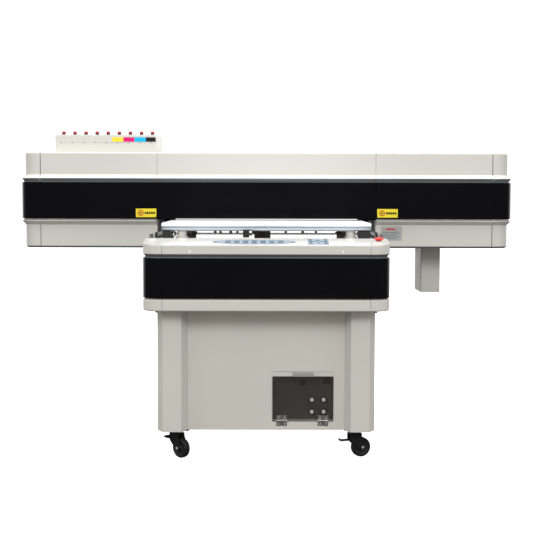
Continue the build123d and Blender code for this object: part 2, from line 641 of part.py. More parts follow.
os.makedirs("parts", exist_ok=True)
for name, solids in nodes.items():
    export_step(Compound(solids), f"parts/{name}.step")
print(len(nodes), "nodes")
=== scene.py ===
import json
import logging
import math
from dataclasses import dataclass, field
from enum import Enum
from typing import Callable, Iterable, Optional, Sequence

import bpy
import bmesh
from mathutils import Matrix, Vector


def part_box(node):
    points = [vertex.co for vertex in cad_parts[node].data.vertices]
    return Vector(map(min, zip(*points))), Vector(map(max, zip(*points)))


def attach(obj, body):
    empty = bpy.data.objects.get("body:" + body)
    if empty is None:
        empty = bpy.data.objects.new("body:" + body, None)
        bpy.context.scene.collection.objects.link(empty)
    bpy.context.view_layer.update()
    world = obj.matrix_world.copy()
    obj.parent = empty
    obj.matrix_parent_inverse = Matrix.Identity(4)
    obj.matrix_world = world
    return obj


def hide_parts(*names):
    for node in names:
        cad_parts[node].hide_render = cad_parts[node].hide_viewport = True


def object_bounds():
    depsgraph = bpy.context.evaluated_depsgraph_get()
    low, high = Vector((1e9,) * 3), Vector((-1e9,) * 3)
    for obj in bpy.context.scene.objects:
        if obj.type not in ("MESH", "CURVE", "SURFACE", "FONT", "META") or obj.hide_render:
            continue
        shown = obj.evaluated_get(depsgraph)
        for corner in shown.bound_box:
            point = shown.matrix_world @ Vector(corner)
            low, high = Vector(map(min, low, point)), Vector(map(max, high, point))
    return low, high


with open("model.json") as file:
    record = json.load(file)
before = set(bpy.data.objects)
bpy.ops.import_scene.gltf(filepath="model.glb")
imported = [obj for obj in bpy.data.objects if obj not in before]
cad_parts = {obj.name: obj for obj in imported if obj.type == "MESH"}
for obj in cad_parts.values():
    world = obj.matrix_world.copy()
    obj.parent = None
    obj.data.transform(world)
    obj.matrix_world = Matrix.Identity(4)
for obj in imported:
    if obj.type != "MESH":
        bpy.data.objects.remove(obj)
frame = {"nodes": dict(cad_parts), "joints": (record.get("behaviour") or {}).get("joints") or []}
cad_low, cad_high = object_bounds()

log = logging.getLogger("printer")
Object = bpy.types.Object
Triple = tuple[float, float, float]
Pair = tuple[float, float]
Socket = bpy.types.NodeSocket
Material = bpy.types.Material
FaceTest = Callable[[bmesh.types.BMFace], bool]
SMOOTH_ANGLE = math.radians(35)


# ---- node sheets and finishes ---------------------------------------------------
class Graph:
    """A node tree being built, with short calls for adding and joining nodes."""

    def __init__(self, tree: bpy.types.NodeTree) -> None:
        """Empties the tree.

        Args:
            tree: the tree to build in.
        """
        self.nodes, self.links = tree.nodes, tree.links
        self.nodes.clear()

    def add(self, kind: str, **sockets: object) -> bpy.types.Node:
        """Adds a node and fills its sockets.

        Args:
            kind: the node's type name without its ShaderNode prefix.
            sockets: socket names, with _ for a space, and their values or source sockets.

        Returns:
            The new node.
        """
        node = self.nodes.new("ShaderNode" + kind)
        for key, value in sockets.items():
            self.feed(node, key.replace("_", " "), value)
        return node

    def feed(self, node: bpy.types.Node, socket: str | int, value: object) -> None:
        """Sets a socket to a value, or joins another node's socket to it."""
        if isinstance(value, Socket):
            self.links.new(value, node.inputs[socket])
        else:
            node.inputs[socket].default_value = value

    def maths(self, operation: str, *values: object) -> Socket:
        """Adds a maths node on numbers or other nodes' sockets."""
        node = self.nodes.new("ShaderNodeMath")
        node.operation = operation
        for index, value in enumerate(values):
            self.feed(node, index, value)
        return node.outputs[0]


class Sheet(Graph):
    """A material being built: its shader, its patterns and its relief."""

    def __init__(self, name: str) -> None:
        """Starts an empty sheet with its output and shader.

        Args:
            name: the material's name.
        """
        self.material = bpy.data.materials.new(name)
        self.material.use_nodes = True
        super().__init__(self.material.node_tree)
        output = self.nodes.new("ShaderNodeOutputMaterial")
        self.shader = self.nodes.new("ShaderNodeBsdfPrincipled")
        self.links.new(self.shader.outputs[0], output.inputs["Surface"])

    def place(self, stretch: Triple = (1.0, 1.0, 1.0)) -> Socket:
        """Object coordinates, stretched along each axis."""
        coords = self.add("TexCoord")
        return self.add("Mapping", Vector=coords.outputs["Object"], Scale=stretch).outputs[0]

    def noise(self, scale: float, detail: float = 2.0, stretch: Triple = (1.0, 1.0, 1.0)) -> Socket:
        """A noise pattern's value on object coordinates."""
        return self.add("TexNoise", Vector=self.place(stretch), Scale=scale, Detail=detail).outputs[0]

    def spread(self, value: Socket, low: float, high: float, cut: float = 0.3) -> Socket:
        """Maps a pattern's middle stretch onto a range.

        Args:
            value: the pattern.
            low: the result at the pattern's lower cut.
            high: the result at its upper cut.
            cut: how far from each end of the pattern the cuts lie.

        Returns:
            The mapped value's socket.
        """
        node = self.add("MapRange", Value=value, From_Min=cut, From_Max=1.0 - cut, To_Min=low, To_Max=high)
        return node.outputs[0]

    def tint(self, value: Socket, first: object, second: Triple) -> Socket:
        """Mixes two colours by a pattern; the first may be another node's socket."""
        node = self.nodes.new("ShaderNodeMix")
        node.data_type = "RGBA"
        self.links.new(value, node.inputs[0])
        self.feed(node, 6, first if isinstance(first, Socket) else (*first, 1.0))
        self.feed(node, 7, (*second, 1.0))
        return node.outputs[2]

    def relief(self, height: Socket, distance: float, strength: float = 1.0, edge: float = 0.0) -> None:
        """Raises the surface by a pattern, and softens its edges.

        Args:
            height: the pattern.
            distance: the relief's depth in metres.
            strength: how much of the relief is used.
            edge: radius of the softened edges in metres, or 0 for none.
        """
        bump = self.add("Bump", Height=height, Distance=distance, Strength=strength)
        if edge > 0.0:
            soft = self.add("Bevel", Radius=edge)
            soft.samples = 4
            self.links.new(soft.outputs[0], bump.inputs["Normal"])
        self.links.new(bump.outputs[0], self.shader.inputs["Normal"])

    def set(self, **sockets: object) -> None:
        """Sets the shader's own sockets."""
        for key, value in sockets.items():
            self.feed(self.shader, key.replace("_", " "), value)


def scaled(colour: Triple, factor: float) -> Triple:
    """A colour made lighter or darker."""
    return tuple(min(1.0, c * factor) for c in colour)


@dataclass(frozen=True)
class PowderCoat:
    """Baked powder paint: fine orange peel, faint clouding and handling marks, with optional slate bands of
    painted shade on down-facing undersides.
    """

    name: str
    colour: Triple
    roughness: float = 0.46
    edge: float = 0.0012
    shine: float = 0.35
    # Painted shade: z bands, their slate colour and their rear limit, standing for the shade on down-facing
    # undersides.
    painted_shade_bands: tuple[Pair, ...] = ()
    painted_shade_colour: Triple = (0.15, 0.17, 0.18)
    painted_shade_rear: float = 0.559
    varnish: float = 0.0
    peel: float = 900.0
    depth: float = 0.00006

    def make(self) -> Material:
        """Builds the material."""
        sheet = Sheet(self.name)
        cloud = sheet.noise(3.0, 3.0)
        paint = sheet.tint(cloud, scaled(self.colour, 0.965), scaled(self.colour, 1.03))
        # Painted shade: surfaces inside the z bands are coloured slate to stand for the shade under the ridges.
        if self.painted_shade_bands:
            paint = sheet.tint(self.painted_shade_mask(sheet), paint, self.painted_shade_colour)
        wear = sheet.spread(sheet.noise(22.0, 4.0), self.roughness - 0.06, self.roughness + 0.07)
        sheet.set(Base_Color=paint, Roughness=wear,
                  Specular_IOR_Level=self.shine, Coat_Weight=self.varnish, Coat_Roughness=0.05)
        sheet.relief(sheet.noise(self.peel, 1.0), self.depth, 0.6, self.edge)
        return sheet.material

    def painted_shade_mask(self, sheet: Sheet) -> Socket:
        """One inside the bands of painted shade on the undersides, ahead of their rear end, and zero elsewhere.
        """
        split = sheet.add("SeparateXYZ", Vector=sheet.place())
        inside = [sheet.maths("COMPARE", split.outputs["Z"], (low + high) / 2, (high - low) / 2)
                  for low, high in self.painted_shade_bands]
        mask = inside[0]
        for other in inside[1:]:
            mask = sheet.maths("MAXIMUM", mask, other)
        return sheet.maths("MULTIPLY", sheet.maths("LESS_THAN", split.outputs["Y"], self.painted_shade_rear), mask)


@dataclass(frozen=True)
class GlossAcrylic:
    """Polished acrylic sheet, faintly wavy, with wiping haze in its shine."""

    name: str
    colour: Triple
    roughness: float = 0.09
    specular: float = 0.12

    def make(self) -> Material:
        """Builds the material."""
        sheet = Sheet(self.name)
        haze = sheet.noise(9.0, 5.0, (1.0, 1.0, 3.0))
        sheet.set(Base_Color=sheet.tint(sheet.noise(4.0), self.colour, scaled(self.colour, 1.25)),
                  Roughness=sheet.spread(haze, self.roughness * 0.7, self.roughness * 1.8),
                  Specular_IOR_Level=self.specular)
        sheet.relief(sheet.noise(5.0, 0.0), 0.0004, 0.25, 0.0015)
        return sheet.material


class Grain(Enum):
    """The way a metal's finishing lines run."""

    ALONG_X = (0.02, 1.0, 1.0)
    ALONG_Y = (1.0, 0.02, 1.0)
    NONE = (1.0, 1.0, 1.0)


@dataclass(frozen=True)
class Metal:
    """Drawn, ground or plated metal with fine finishing lines."""

    name: str
    colour: Triple
    roughness: float = 0.32
    grain: Grain = Grain.ALONG_X
    fineness: float = 1500.0

    def make(self) -> Material:
        """Builds the material."""
        sheet = Sheet(self.name)
        lines = sheet.noise(self.fineness, 2.0, self.grain.value)
        sheet.set(Base_Color=sheet.tint(lines, scaled(self.colour, 0.92), scaled(self.colour, 1.06)),
                  Roughness=sheet.spread(lines, self.roughness - 0.06, self.roughness + 0.08), Metallic=1.0)
        sheet.relief(lines, 0.00002, 0.5, 0.0006)
        return sheet.material


@dataclass(frozen=True)
class Moulding:
    """Moulded plastic, rubber or enamel with a fine grain, and an optional painted glow that stands in for light
    on it.
    """

    name: str
    colour: Triple
    roughness: float = 0.5
    grain: float = 1200.0
    depth: float = 0.00004
    specular: float = 0.4
    # Painted glow: emission on a part that is no lamp, standing in for light falling on it.
    painted_glow: float = 0.0

    def make(self) -> Material:
        """Builds the material."""
        sheet = Sheet(self.name)
        cells = sheet.add("TexVoronoi", Vector=sheet.place(), Scale=self.grain).outputs[0]
        worn = sheet.noise(40.0, 3.0)
        sheet.set(Base_Color=sheet.tint(worn, scaled(self.colour, 0.85), scaled(self.colour, 1.2)),
                  Roughness=sheet.spread(worn, self.roughness - 0.07, self.roughness + 0.08),
                  # The emission is painted light, and it is zero unless a painted glow is given.
                  Specular_IOR_Level=self.specular, Emission_Color=(*self.colour, 1.0),
                  Emission_Strength=self.painted_glow)
        sheet.relief(cells, self.depth, 0.6, 0.0008)
        return sheet.material


@dataclass(frozen=True)
class SmokedPane:
    """Tinted clear acrylic that lets what is behind it show through."""

    name: str
    colour: Triple
    alpha: float = 0.6

    def make(self) -> Material:
        """Builds the material."""
        sheet = Sheet(self.name)
        haze = sheet.noise(30.0, 4.0)
        sheet.set(Base_Color=sheet.tint(haze, self.colour, scaled(self.colour, 1.2)),
                  Roughness=sheet.spread(haze, 0.05, 0.14), Alpha=self.alpha, Specular_IOR_Level=0.4)
        sheet.relief(sheet.noise(12.0, 0.0), 0.0002, 0.2)
        return sheet.material


@dataclass(frozen=True)
class PrintedFilm:
    """A printed adhesive film with a slight gloss."""

    name: str
    colour: Triple
    roughness: float = 0.32
    shine: float = 0.5

    def make(self) -> Material:
        """Builds the material."""
        sheet = Sheet(self.name)
        fade = sheet.noise(60.0, 3.0)
        sheet.set(Base_Color=sheet.tint(fade, scaled(self.colour, 0.95), scaled(self.colour, 1.04)),
                  Roughness=sheet.spread(fade, self.roughness - 0.05, self.roughness + 0.06),
                  Specular_IOR_Level=self.shine)
        sheet.relief(sheet.noise(500.0), 0.00002, 0.3)
        return sheet.material


FINISHES = (
    PowderCoat("beige_coat", (0.60, 0.588, 0.550), 0.40, shine=0.4),
    # Beige coat with painted shade: slate bands under the gantry's upper ridge and the table's upper shell.
    PowderCoat("beige_coat_with_painted_shade", (0.60, 0.588, 0.550), 0.40, shine=0.4,
               painted_shade_bands=((1.119, 1.1372), (0.812, 0.8295))),
    # Painted light: a lighter copy of the beige coat, so that the up-facing deck and console top look brightly
    # lit.
    PowderCoat("deck_coat_with_painted_light", (0.80, 0.79, 0.755), 0.35, shine=0.5, varnish=1.0, depth=0.0),
    PowderCoat("bed_face", (0.60, 0.61, 0.62), 0.6, shine=0.0, depth=0.0),
    PowderCoat("frame_coat", (0.055, 0.055, 0.06), 0.55),
    PowderCoat("black_coat", (0.012, 0.012, 0.013), 0.32, 0.0008),
    GlossAcrylic("black_band", (0.0038, 0.0038, 0.0046)),
    Metal("edge_aluminium", (0.50, 0.55, 0.61), 0.40, Grain.ALONG_X),
    Metal("zinc_plate", (0.72, 0.70, 0.66), 0.28, Grain.ALONG_X),
    Metal("ground_steel", (0.55, 0.56, 0.58), 0.25, Grain.ALONG_Y),
    Metal("bright_steel", (0.86, 0.86, 0.86), 0.16, Grain.NONE),
    Moulding("black_plastic", (0.014, 0.014, 0.015), 0.46),
    Moulding("tread_rubber", (0.012, 0.012, 0.012), 0.62, 700.0, 0.00008, 0.25),
    Moulding("belt_rubber", (0.02, 0.02, 0.02), 0.7, 900.0, 0.00005, 0.2),
    Moulding("signal_red", (0.62, 0.018, 0.016), 0.3, 2000.0, 0.00001, 0.5),
    Moulding("cap_red", (0.42, 0.022, 0.024), 0.4, 1500.0, 0.00002, 0.4),
    Moulding("switch_red", (0.22, 0.012, 0.014), 0.35, 2000.0, 0.00001, 0.5),
    Moulding("knob_blue", (0.012, 0.022, 0.06), 0.4),
    Moulding("plug_white", (0.85, 0.84, 0.80), 0.4, 2000.0, 0.00001),
    # Painted light: the button caps glow though they are no lamps.
    Moulding("button_cap_with_painted_glow", (0.80, 0.78, 0.75), 0.3, 2000.0, 0.00001, 0.5, 1.6),
    SmokedPane("smoked_acrylic", (0.028, 0.026, 0.022), 0.55),
    SmokedPane("frosted_tab", (0.40, 0.41, 0.37), 0.85),
    PrintedFilm("film_yellow", (0.80, 0.66, 0.03)),
    PrintedFilm("film_red", (0.55, 0.02, 0.02)),
    PrintedFilm("film_dark", (0.012, 0.013, 0.018), 0.6, 0.05),
    PrintedFilm("film_grey", (0.40, 0.40, 0.40)),
    PrintedFilm("film_slate", (0.085, 0.115, 0.155), 0.5, 0.1),
    PrintedFilm("film_pale", (0.25, 0.31, 0.38), 0.5, 0.1),
    PrintedFilm("ink_yellow", (0.87, 0.68, 0.04)),
    PrintedFilm("ink_magenta", (0.72, 0.004, 0.17)),
    PrintedFilm("ink_cyan", (0.0, 0.46, 0.85)),
    PrintedFilm("ink_black", (0.008, 0.008, 0.009)),
)


@dataclass
class Palette:
    """Every finish, built once and handed out by name."""

    made: dict[str, bpy.types.Material] = field(default_factory=dict)

    def mix(self) -> None:
        """Builds all the finishes."""
        for finish in FINISHES:
            self.made[finish.name] = finish.make()
        log.info("mixed %d finishes", len(self.made))

    def dress(self, piece: Object, *names: str) -> None:
        """Gives a piece its finishes, one for each material slot in order."""
        while len(piece.data.materials) < len(names):
            piece.data.materials.append(None)
        for index in range(len(piece.data.materials)):
            piece.data.materials[index] = self.made[names[min(index, len(names) - 1)]]


palette = Palette()


# ---- shaping tools --------------------------------------------------------------
def clear_selection() -> None:
    """Leaves edit mode and deselects every object."""
    if bpy.context.object is not None and bpy.context.object.mode != "OBJECT":
        bpy.ops.object.mode_set(mode="OBJECT")
    bpy.ops.object.select_all(action="DESELECT")


def take(piece: Object) -> None:
    """Selects one object alone and makes it active."""
    clear_selection()
    piece.select_set(True)
    bpy.context.view_layer.objects.active = piece


def named(name: str) -> Object:
    """Names the primitive that was just added."""
    piece = bpy.context.object
    piece.name = name
    piece.data.name = name
    return piece


def add_block(name: str, low: Sequence[float], high: Sequence[float]) -> Object:
    """Adds a block between two corners, its place in its mesh.

    Args:
        name: the piece's name.
        low: the lowest corner.
        high: the highest corner.

    Returns:
        The new piece.
    """
    clear_selection()
    low, high = Vector(low), Vector(high)
    bpy.ops.mesh.primitive_cube_add(size=1.0, location=(low + high) / 2, scale=high - low)
    piece = named(name)
    bpy.ops.object.transform_apply(location=True, rotation=True, scale=True)
    return piece


def add_turned(name: str, profile: Sequence[Pair], sides: int = 40) -> Object:
    """Turns a solid about Z by drawing a disc out through a profile.

    Args:
        name: the piece's name.
        profile: radius and height at each step, from one end to the other.
        sides: number of sides round the axis.

    Returns:
        The new piece, standing on the origin's axis.
    """
    clear_selection()
    radius, height = profile[0]
    bpy.ops.mesh.primitive_circle_add(vertices=sides, radius=radius, fill_type="NGON", location=(0, 0, 0))
    piece = named(name)
    bpy.ops.object.mode_set(mode="EDIT")
    bpy.ops.mesh.select_all(action="SELECT")
    bpy.ops.transform.translate(value=(0, 0, height))
    for next_radius, next_height in profile[1:]:
        bpy.ops.mesh.extrude_region_move(TRANSFORM_OT_translate={"value": (0, 0, next_height - height)})
        ratio = next_radius / radius
        bpy.ops.transform.resize(value=(ratio, ratio, 1.0), center_override=(0, 0, next_height))
        radius, height = next_radius, next_height
    bpy.ops.mesh.select_all(action="SELECT")
    bpy.ops.mesh.normals_make_consistent(inside=False)
    bpy.ops.object.mode_set(mode="OBJECT")
    return piece


def select_faces(piece: Object, wanted: FaceTest) -> int:
    """Enters edit mode with only the wanted faces selected.

    Args:
        piece: the piece to edit.
        wanted: says whether a face is selected.

    Returns:
        The number of faces selected.
    """
    take(piece)
    bpy.ops.object.mode_set(mode="EDIT")
    bpy.ops.mesh.select_mode(type="FACE")
    bpy.ops.mesh.select_all(action="DESELECT")
    mesh = bmesh.from_edit_mesh(piece.data)
    count = 0
    for face in mesh.faces:
        if wanted(face):
            face.select_set(True)
            count += 1
    bmesh.update_edit_mesh(piece.data)
    return count


def facing(direction: Sequence[float], limit: float = 0.9) -> FaceTest:
    """A test for faces that point along a direction."""
    way = Vector(direction)
    return lambda face: face.normal.dot(way) > limit


def inset_faces(piece: Object, wanted: FaceTest, inset: float, depth: float = 0.0, each: bool = False) -> None:
    """Insets the wanted faces, together or each alone, and sinks the middle by a depth."""
    if select_faces(piece, wanted):
        bpy.ops.mesh.inset(thickness=inset, depth=-depth, use_individual=each)
    bpy.ops.object.mode_set(mode="OBJECT")


def sink_panel(piece: Object, inset: float, depth: float) -> None:
    """Insets the faces that point up and sinks their middle."""
    inset_faces(piece, facing((0, 0, 1)), inset, depth)


def open_slots(piece: Object) -> None:
    """Gives a piece two empty material slots, so that its faces can be told apart."""
    piece.data.materials.append(None)
    piece.data.materials.append(None)


def soften(piece: Object, width: float, segments: int = 3, angle: float = 30.0) -> None:
    """Rounds a piece's edges with an applied bevel and shades it smooth.

    Args:
        piece: the piece to round.
        width: the bevel's width in metres.
        segments: number of strips across the bevel.
        angle: edges sharper than this, in degrees, are rounded.
    """
    take(piece)
    bevel = piece.modifiers.new("soft_edges", "BEVEL")
    bevel.width = width
    bevel.segments = segments
    bevel.limit_method = "ANGLE"
    bevel.angle_limit = math.radians(angle)
    bevel.use_clamp_overlap = True
    bpy.ops.object.modifier_apply(modifier=bevel.name)
    bpy.ops.object.shade_smooth_by_angle(angle=SMOOTH_ANGLE)


def set_down(piece: Object, place: Matrix) -> Object:
    """Moves a piece's mesh to its place, leaving the object at the origin."""
    take(piece)
    piece.matrix_world = place
    bpy.ops.object.transform_apply(location=True, rotation=True, scale=True)
    return piece


def copy_of(piece: Object, name: str, place: Matrix) -> Object:
    """A copy with its own mesh, moved to its place."""
    twin = piece.copy()
    twin.data = piece.data.copy()
    twin.name = name
    twin.data.name = name
    bpy.context.scene.collection.objects.link(twin)
    return set_down(twin, place)


def paint_faces(piece: Object, slot: int, wanted: Callable[[bpy.types.MeshPolygon], bool]) -> None:
    """Gives the wanted faces another of the piece's finishes."""
    for face in piece.data.polygons:
        if wanted(face):
            face.material_index = slot


def joined(name: str, pieces: Iterable[Object]) -> Object:
    """Joins several meshes into one piece."""
    pieces = list(pieces)
    take(pieces[0])
    for piece in pieces:
        piece.select_set(True)
    bpy.ops.object.join()
    return named(name)


def finish_piece(piece: Object, body: str, *finishes: str, stands_for: Sequence[str] = (),
                 slot: Optional[str] = None) -> Object:
    """Dresses a piece and hands it to its body.

    Args:
        piece: the finished mesh.
        body: the body that it rides on.
        finishes: names of its finishes, one for each material slot.
        stands_for: CAD nodes that it replaces.
        slot: the record's material slot; not used.

    Returns:
        The same piece.
    """
    palette.dress(piece, *finishes)
    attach(piece, body)
    if stands_for:
        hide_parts(*stands_for)
    log.info("made %s", piece.name)
    return piece


def joint_named(name: str) -> dict:
    """The record's joint of a given name."""
    return next(joint for joint in frame["joints"] if joint["name"] == name)


def about(point: Sequence[float], direction: Sequence[float]) -> Matrix:
    """A place at a point whose Z axis runs along a direction."""
    return Matrix.Translation(Vector(point)) @ Vector(direction).to_track_quat("Z", "Y").to_matrix().to_4x4()


# ---- sub-assemblies -------------------------------------------------------------
@dataclass
class Console:
    """The sloping top at the table's front, with what is stuck on or let into it."""

    front_y: float = -0.620
    front_z: float = 0.864
    run: float = 0.190
    rise: float = 0.021
    oval_centre: Pair = (-0.0485, -0.5275)
    oval_half: Pair = (0.1665, 0.0575)
    keypad_centre: Pair = (0.207, -0.522)
    keypad_size: Pair = (0.084, 0.134)
    stop_at: Pair = (0.449, -0.527)
    plug_x: float = 0.301
    plug_z: float = 0.841

    def place(self, x: float, y: float) -> Matrix:
        """A point on the slope with Z along its normal."""
        tilt = math.atan2(self.rise, self.run)
        z = self.front_z + (y - self.front_y) * self.rise / self.run
        return Matrix.Translation((x, y, z)) @ Matrix.Rotation(tilt, 4, "X")

    def oval(self) -> None:
        """A plain oval plate: a dark rim round a paler field, with plain bars across it."""
        plate = add_turned("console_oval", [(1.0, 0.0), (1.0, 0.0005)], 72)
        take(plate)
        bpy.ops.transform.resize(value=(*self.oval_half, 1.0))
        bpy.ops.object.transform_apply(location=False, rotation=False, scale=True)
        select_faces(plate, facing((0, 0, 1)))
        bpy.ops.mesh.inset(thickness=0.006)
        bpy.ops.mesh.inset(thickness=0.004, depth=-0.0002)
        bpy.ops.object.mode_set(mode="OBJECT")
        open_slots(plate)
        paint_faces(plate, 1, lambda face: len(face.vertices) > 4 and face.normal.z > 0.9)
        finish_piece(set_down(plate, self.place(*self.oval_centre)), "base", "film_slate", "film_pale",
                     slot="keypad_face")
        bars = []
        for index in range(7):
            reach = 0.036 - 0.004 * abs(index - 3)
            x = -0.105 + 0.035 * index
            bars.append(add_block("bar", (x - 0.011, -reach, 0.0002), (x + 0.011, reach, 0.0009)))
        bars = joined("console_oval_bars", bars)
        soften(bars, 0.0002, 1)
        finish_piece(set_down(bars, self.place(*self.oval_centre)), "base", "film_slate",
                     slot="keypad_face")

    def keypad(self) -> None:
        """A membrane keypad: a pale panel with rows of raised dark keys."""
        half_x, half_y = (side / 2 for side in self.keypad_size)
        panel = add_block("keypad", (-half_x, -half_y, 0.0), (half_x, half_y, 0.0014))
        soften(panel, 0.0005, 2)
        finish_piece(set_down(panel, self.place(*self.keypad_centre)), "base", "film_pale",
                     stands_for=["keypad_panel"], slot="keypad_face")
        places = [(x, y, 0.0085, 24) for x in (-0.030, 0.030) for y in (-0.044, 0.0, 0.044)]
        places += [(-0.014, 0.0, 0.0062, 4), (0.014, 0.0, 0.0062, 4)]
        places += [(0.0, -0.030, 0.0075, 4), (0.0, 0.030, 0.0075, 4)]
        keys = []
        for x, y, radius, sides in places:
            key = add_turned("key", [(radius, 0.0012), (radius, 0.0022), (radius - 0.0008, 0.0026)], sides)
            sink_panel(key, 0.0012, 0.0004)
            keys.append(set_down(key, Matrix.Translation((x, y, 0.0))))
        keys = joined("keypad_keys", keys)
        soften(keys, 0.0005, 2)
        finish_piece(set_down(keys, self.place(*self.keypad_centre)), "base", "film_dark", slot="keypad_face")

    def emergency_stop(self) -> None:
        """The mushroom head with its domed top and waisted stem."""
        profile = [(0.0110, 0.0016), (0.0110, 0.0115), (0.0168, 0.0115), (0.0182, 0.0122), (0.0190, 0.0140),
                   (0.0190, 0.0152), (0.0184, 0.0168), (0.0165, 0.0182), (0.0125, 0.0192), (0.0060, 0.0195)]
        head = add_turned("emergency_stop_head", profile, 48)
        sink_panel(head, 0.0008, 0.0003)
        soften(head, 0.0003, 2, 40)
        finish_piece(set_down(head, self.place(*self.stop_at)), "estop", "signal_red",
                     stands_for=["estop_button"], slot="signal_red")

    def plugs(self) -> None:
        """Two small white blanking plugs in the front face."""
        for side, x in (("left", -self.plug_x), ("right", self.plug_x)):
            plug = add_turned("blanking_plug_" + side, [(0.0042, -0.002), (0.0042, 0.0), (0.0034, 0.0003)], 24)
            finish_piece(set_down(plug, about((x, self.front_y, self.plug_z), (0, -1, 0))), "base", "plug_white",
                         slot="powder_coat")

    def build(self) -> None:
        """Makes everything on the console."""
        self.oval()
        self.keypad()
        self.emergency_stop()
        self.plugs()


@dataclass
class VacuumBed:
    """The bed's aluminium edging and the screws along its front."""

    nose: float = 0.015
    screw_x: tuple[float, ...] = (-0.248, -0.111, 0.065, 0.290)

    def edging(self) -> None:
        """Four drawn profiles round the bed, the front one with a rounded nose."""
        low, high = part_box("bed_edge_profiles")
        plate_low, plate_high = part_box("bed_plate")
        back = low.y + self.nose
        nose = self.round_nose(low, high, back)
        front = add_block("front", (low.x, back, low.z), (high.x, plate_low.y, high.z))
        rear = add_block("rear", (low.x, plate_high.y, low.z), (high.x, high.y, high.z))
        left = add_block("left", (low.x, plate_low.y, low.z), (plate_low.x, plate_high.y, high.z))
        right = add_block("right", (plate_high.x, plate_low.y, low.z), (high.x, plate_high.y, high.z))
        for block in (rear, left, right):
            soften(block, 0.0008, 2)
        edging = joined("bed_edging", [nose, front, rear, left, right])
        edging.data.materials.clear()
        palette.dress(edging, "edge_aluminium", "bed_face")
        paint_faces(edging, 1, lambda face: face.center.y > plate_low.y + 0.001)
        finish_piece(edging, "base", "edge_aluminium", "bed_face", stands_for=["bed_edge_profiles"],
                     slot="anodised")

    def round_nose(self, low: Vector, high: Vector, back: float) -> Object:
        """A half-round bar along the front edge.

        Args:
            low: the edging's lowest corner.
            high: its highest corner.
            back: where the rounded nose meets the flat profile.

        Returns:
            The bar.
        """
        half = (high.z - low.z) / 2
        bar = add_turned("nose", [(half * 0.97, low.x), (half, low.x + 0.0008), (half, high.x - 0.0008),
                                  (half * 0.97, high.x)], 48)
        set_down(bar, Matrix.Rotation(math.pi / 2, 4, "Y"))
        take(bar)
        bpy.ops.transform.resize(value=(1.0, (back - low.y) / half, 1.0))
        bpy.ops.object.transform_apply(location=False, rotation=False, scale=True)
        take(bar)
        bpy.ops.object.mode_set(mode="EDIT")
        bpy.ops.mesh.select_all(action="SELECT")
        bpy.ops.mesh.bisect(plane_co=(0, 0, 0), plane_no=(0, 1, 0), use_fill=True, clear_outer=True)
        bpy.ops.object.mode_set(mode="OBJECT")
        bpy.ops.object.shade_smooth_by_angle(angle=SMOOTH_ANGLE)
        return set_down(bar, Matrix.Translation((0, back, low.z + half)))

    def screws(self) -> None:
        """Small dark button-head screws along the top of the front profile."""
        low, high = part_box("bed_edge_profiles")
        heads = []
        for x in self.screw_x:
            head = add_turned("screw", [(0.0042, -0.001), (0.0042, 0.0002), (0.0030, 0.0005)], 20)
            heads.append(set_down(head, Matrix.Translation((x, low.y + self.nose + 0.004, high.z))))
        finish_piece(joined("bed_screws", heads), "base", "black_plastic", slot="black_plastic")

    def build(self) -> None:
        """Makes the bed's pieces."""
        self.edging()
        self.screws()


